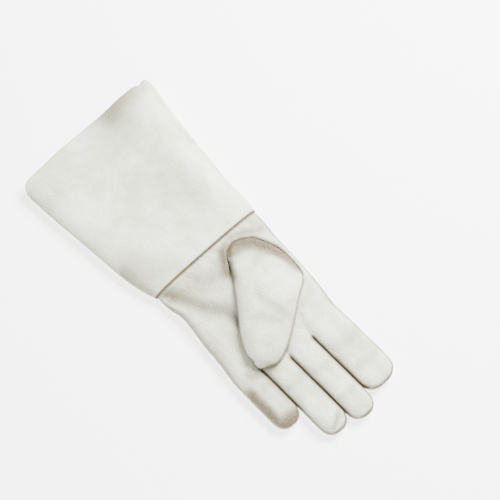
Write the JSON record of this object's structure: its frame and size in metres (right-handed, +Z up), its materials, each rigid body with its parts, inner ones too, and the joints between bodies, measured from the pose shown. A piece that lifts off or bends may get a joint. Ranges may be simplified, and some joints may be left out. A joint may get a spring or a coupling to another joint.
{
  "type": "gauntlet glove",
  "caption": "White leather gauntlet glove for the left hand, lying palm up, with a long flared cuff and the thumb folded across the palm.",
  "frame": {"origin": "centre of the outline's box on the surface that the glove lies on", "axes": "+X from the cuff's hem towards the fingertips, +Y towards the index finger's side, +Z up out of the palm"},
  "size_m": [0.3716, 0.1616, 0.0305],
  "materials": {
    "hand_leather": "soft white leather with a fine grain, satin, a little creased",
    "strip_leather": "soft white leather with a fine grain, satin, darker in the creases",
    "cuff_leather": "firm smooth white leather, satin"
  },
  "bodies": {
    "root": {"fourchette_index_middle": "strip_leather", "fourchette_middle_ring": "strip_leather", "fourchette_ring_little": "strip_leather", "palm_panel": "hand_leather", "back_panel": "hand_leather", "thumb": "hand_leather", "gauntlet_cuff": "cuff_leather"}
  },
  "joints": []
}
